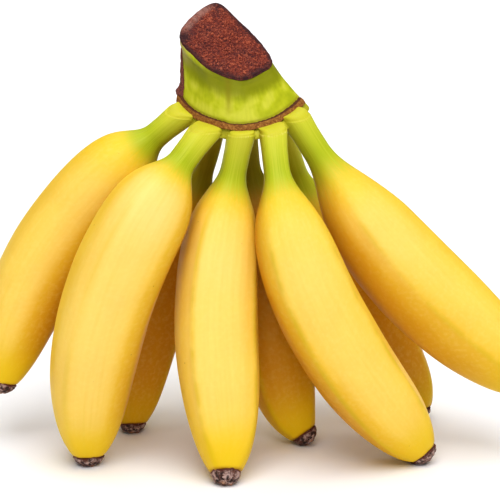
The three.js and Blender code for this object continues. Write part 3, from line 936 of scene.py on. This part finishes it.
class HAND_OT_crown(bpy.types.Operator):
    """Make the green crown that the fingers hang from"""
    bl_idname = "hand.make_crown"
    bl_label = "Make crown"

    def execute(self, context):
        u = 10 * np.arange(CROWN_GRID[1]) / CROWN_GRID[1]
        high = np.linspace(*CROWN_SKIN, CROWN_GRID[0])[:, None]
        flutes = collar_swell(u, -1.0) / SWELL  # 1 above each front neck
        p = on_crown(u, high, 0.0)
        out = collar_swell(u, high) - rounding((high - CROWN_SKIN[0]) * CROWN_RISE, 1.6)
        out = out + 0.25 * noise(p, 6, 5) + 0.08 * noise(p, 2, 6)  # uneven over 6 and 2 mm
        # a lip under the cut, and at the left a bulge with a hollow below it
        out = out + 0.35 * step(0.86, 0.95, high)
        out = out + hump(u - 7.9, 0.8) * (
            0.9 * step(0.80, 0.93, high) - 0.4 * hump(high - 0.72, 0.1))
        side = on_crown(u, high, out)
        # the underside: rings that shrink to the middle and hollow upwards
        share = np.linspace(0.06, 1.0, 14)[:-1, None, None]
        low = side[0].mean(axis=0)
        under = low + (side[0] - low) * share
        under[..., 2] += 1.5 * (1 - share[..., 0] ** 2)
        # the top, hidden in the dried cut
        top = side[-1].mean(axis=0)
        lid = top + (side[-1] - top) * np.linspace(0.9, 0.1, 5)[:, None, None]
        level = np.concatenate([np.zeros(len(under)), high[:, 0], np.ones(len(lid))])[:, None]
        # painted shade in the crease where the necks meet the collar, less over the front necks
        crease = hump(level - 0.02, 0.05) * (0.75 - 0.6 * np.clip(flutes, 0, 1))
        # painted shade of a furrow between the second and third necks, running down from the cut
        furrow = 0.55 * hump(u - 9.55, 0.10) * step(0.25, 0.6, level)
        above_scar = 0.6 * hump(level - SCAR_HEIGHT[1] - 0.02, 0.02)
        above_scar = above_scar * ((u - SCAR_ROUND[0]) % 10 < SCAR_ROUND[1] - SCAR_ROUND[0])
        bulge = hump(u - 8.0, 0.9)
        attributes = {
            "straight": straightened(level * 24, 18, 2 * math.pi * u / 10),
            "high": (step(0.40, 0.85, level + 0.05 * bulge)
                     * (1 - 0.55 * bulge * step(0.84, 0.95, level))),
            "crease": np.clip(0.4 * crease + furrow + above_scar, 0, 1),
            "corner": hump(u - 7.2, 0.4) * step(0.62, 0.88, level),
            "collar": 1 - step(0.10, 0.17, level),
        }
        add_piece("crown_skin", np.concatenate([under, side, lid]), attributes,
                  crown_material(context.scene.hand_colours), "crown")
        return {"FINISHED"}


class HAND_OT_cut(bpy.types.Operator):
    """Make the dried cut on top of the crown and the dried strip down its left side"""
    bl_idname = "hand.make_cut"
    bl_label = "Make dried cut"

    def execute(self, context):
        sizes = context.scene.hand_sizes
        material = cut_material(context.scene.hand_colours)
        count = CUT_GRID[1]
        u = 10 * np.arange(count) / count
        wall_t = np.linspace(CAP_FROM, 1.0, CUT_GRID[0])[:, None]
        wall = on_crown(u, wall_t, CAP_LIP)
        wall_noise = noise(wall, 1.0, 200) + 0.6 * noise(wall, 3.0, 201)
        tuck = 0.9 * rounding((wall_t - CAP_FROM) * CAP_RISE, 0.5)
        wall = on_crown(u, wall_t, CAP_LIP + 0.14 * wall_noise - tuck)
        rim = wall[-1]
        centre = rim.mean(axis=0)
        # the face: rings that shrink to its middle, closer along the rim
        share = np.concatenate([np.linspace(1, 0.86, 22)[1:], np.linspace(0.86, 0.02, 84)[1:]])
        inside = 1 - share[:, None]
        face = centre + (rim - centre) * share[:, None, None]
        lift = unit(np.cross(rim[count // 4] - rim[0], rim[count // 2] - rim[0]))
        lift *= np.sign(lift[2])
        # fibre ends 0.8 and 0.5 mm across over swells of 4 mm, a rim that drops away and a low dome
        grit = np.abs(noise(face, 0.8, 210)) * 1.4 - 0.5 + 0.7 * noise(face, 0.5, 211)
        grit = grit + 0.3 * noise(face, 4.0, 212)
        rise = sizes.cut_relief / MM * grit * step(0.0, 0.10, inside) - 0.55 * hump(inside, 0.012)
        rise = rise + CAP_DOME * (1 - share[:, None] ** 2)
        rows = np.concatenate([wall, face + lift * rise[..., None]])
        inside = np.concatenate([0 * wall_t, inside])
        inside_mm = inside * np.linalg.norm(rim - centre, axis=-1)
        left = step(4.9, 5.6, u) * (1 - step(6.7, 7.2, u))  # 1 on the upper left side of the rim
        wobble = 0.5 * noise(rows, 2.5, 220)
        # streaks across the worn rim, and a dark spot at its left corner
        streaks = noise(np.stack(np.broadcast_arrays(11 * u, 0.25 * inside_mm, 0.0), -1), 0.8, 221)
        worn = (1 - step(1.8, 3.4, inside_mm + wobble)) * left * (0.75 + 0.45 * streaks)
        spot = hump(u - 6.95, 0.28) * (1 - step(2.5, 4.5, inside_mm))
        edge = (1 - step(0.5, 2.6, inside_mm + wobble)) * (1 - left) * (0.9 + 0.25 * streaks)
        attributes = {
            "edge": np.clip(np.maximum(edge, spot), 0, 1),
            "worn": np.clip(worn, 0, 1) * (1 - spot),
            "relief": np.concatenate([0.3 * wall_noise, grit]),
        }
        add_piece("dried_cut_face", rows, attributes, material, "crown_cut")

        # The strip: a thin rounded band lying down the side, its lower end a small nub.
        along = np.linspace(0, 1, STRIP_GRID[0])[:, None]
        loop = turns(STRIP_GRID[1])
        low, high = STRIP_HEIGHT
        level = high - (high - low) * along
        wide = 0.34 + 0.12 * np.sin(math.pi * along)
        wide = wide + 0.05 * noise(along * [9, 0, 0], 1.0, 230)[:, None]
        wide = wide * np.sqrt(np.clip(1 - (2 * along - 1) ** 16, 0.01, 1))
        thick = 0.30 + 0.15 * along + 1.2 * hump(along - 0.94, 0.05)
        u = 6.62 + 0.50 * along + wide * np.cos(loop)
        out = 0.15 + thick * np.sin(loop)
        strip = on_crown(u, level, out)
        rough = noise(strip, 0.9, 231) + 0.7 * noise(strip, 2.4, 232)
        strip = on_crown(u, level, out + 0.18 * rough)
        attributes = {"edge": 0.35 + 0.3 * rough, "worn": 0.25, "relief": rough}
        add_piece("dried_side_strip", strip, attributes, material, "crown_cut")
        return {"FINISHED"}


class HAND_OT_scar(bpy.types.Operator):
    """Make the corky bract scar round the front of the crown"""
    bl_idname = "hand.make_scar"
    bl_label = "Make bract scar"

    def execute(self, context):
        along = np.linspace(0, 1, SCAR_GRID[0])[:, None]
        loop = turns(SCAR_GRID[1])
        u = SCAR_ROUND[0] + (SCAR_ROUND[1] - SCAR_ROUND[0]) * along
        low, high = SCAR_HEIGHT
        sunk, stand = 0.4, context.scene.hand_sizes.scar_height / MM
        # the section: a rounded box, from inside the flesh to its face
        c, s = np.cos(loop), np.sin(loop)
        box = (np.abs(c) ** 5 + np.abs(s) ** 5) ** (-1 / 5)
        ends = np.sqrt(np.clip(1 - (2 * along - 1) ** 60, 0.02, 1))
        nub = hump(along, 0.03)
        rough = noise(along * [90, 0, 0], 1.0, 240)[:, None]
        level = (high - low) / 2 * 1.08 * s * box * ends * (1 + 0.10 * rough + 0.35 * nub)
        level = level + (low + high) / 2
        out = (stand + sunk) / 2 * (1 + c * box) * (ends + 0.5 * nub) - sunk
        out = out + collar_swell(u, level)
        band = on_crown(u, level, out)
        grit = noise(band, 0.8, 241) + 0.6 * noise(band, 0.4, 242)
        band = on_crown(u, level + 0.003 * noise(band, 0.9, 243), out + 0.12 * grit)
        edge = np.clip((np.abs(s * box) - 0.72) / 0.28, 0, 1) * (c > -0.9)
        edge = np.maximum(edge, 1 - step(0.0, 0.008, 1 - along))
        add_piece("bract_scar_ring", band, {"edge": edge},
                  scar_material(context.scene.hand_colours), "bract_scar")
        return {"FINISHED"}


class HAND_PT_panel(bpy.types.Panel):
    """Sizes, colours and makers of the banana hand"""
    bl_idname = "HAND_PT_panel"
    bl_label = "Banana hand"
    bl_space_type = "VIEW_3D"
    bl_region_type = "UI"
    bl_category = "Banana hand"

    def draw(self, context):
        for group in (context.scene.hand_sizes, context.scene.hand_colours):
            box = self.layout.box()
            for key in group.__annotations__:
                box.prop(group, key)
        for operator in OPERATORS:
            self.layout.operator(operator.bl_idname)


OPERATORS = (HAND_OT_stage, HAND_OT_crown, HAND_OT_cut, HAND_OT_scar, HAND_OT_peels,
             HAND_OT_blossom_ends)
CLASSES = (HAND_PG_sizes, HAND_PG_colours) + OPERATORS + (HAND_PT_panel,)


def register():
    """Registers the classes and puts both groups of settings on the scene."""
    for cls in CLASSES:
        bpy.utils.register_class(cls)
    bpy.types.Scene.hand_sizes = PointerProperty(type=HAND_PG_sizes)
    bpy.types.Scene.hand_colours = PointerProperty(type=HAND_PG_colours)


def unregister():
    """Takes the settings and the classes away again."""
    del bpy.types.Scene.hand_colours
    del bpy.types.Scene.hand_sizes
    for cls in reversed(CLASSES):
        bpy.utils.unregister_class(cls)


def main():
    """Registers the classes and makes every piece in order."""
    register()
    bpy.ops.hand.make_stage()
    bpy.ops.hand.make_crown()
    bpy.ops.hand.make_cut()
    bpy.ops.hand.make_scar()
    bpy.ops.hand.make_peels()
    bpy.ops.hand.make_blossom_ends()


if __name__ == "__main__":
    main()
